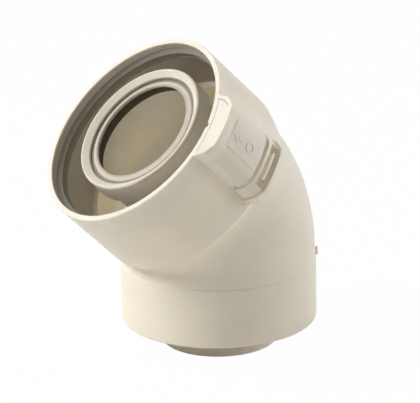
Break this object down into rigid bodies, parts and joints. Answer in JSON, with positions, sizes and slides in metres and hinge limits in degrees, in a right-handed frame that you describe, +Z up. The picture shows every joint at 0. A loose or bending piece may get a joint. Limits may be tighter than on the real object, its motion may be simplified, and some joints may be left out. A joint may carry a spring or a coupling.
{
  "type": "flue elbow",
  "caption": "Concentric plastic flue elbow: an inner flue duct in an outer air duct, sealed sockets above, spigots below, and a locking slider with a ribbed grip.",
  "frame": {"origin": "on the lower leg's axis, level with the air spigot's edge", "axes": "+Z up the lower leg's axis; the upper leg and its sockets lean towards -X in the XZ plane; the slider's housing is on the -Y side"},
  "size_m": [0.1378, 0.1167, 0.1591],
  "materials": {
    "white_plastic": "satin",
    "duct_plastic": "satin",
    "slider_plastic": "satin",
    "seal_rubber": "matte",
    "spacer_plastic": "matte"
  },
  "bodies": {
    "elbow": {"outer_elbow": "white_plastic", "inner_elbow": "duct_plastic", "air_seal": "seal_rubber", "flue_seal": "seal_rubber", "lower_spacer": "spacer_plastic", "upper_spacer": "spacer_plastic"},
    "slider": {"lock_slider": "slider_plastic"}
  },
  "joints": [
    {"name": "lock_slide", "type": "slide", "parent": "elbow", "child": "slider", "axis": [0.7071, 0, -0.7071], "range_m": [0, 0.008]}
  ]
}
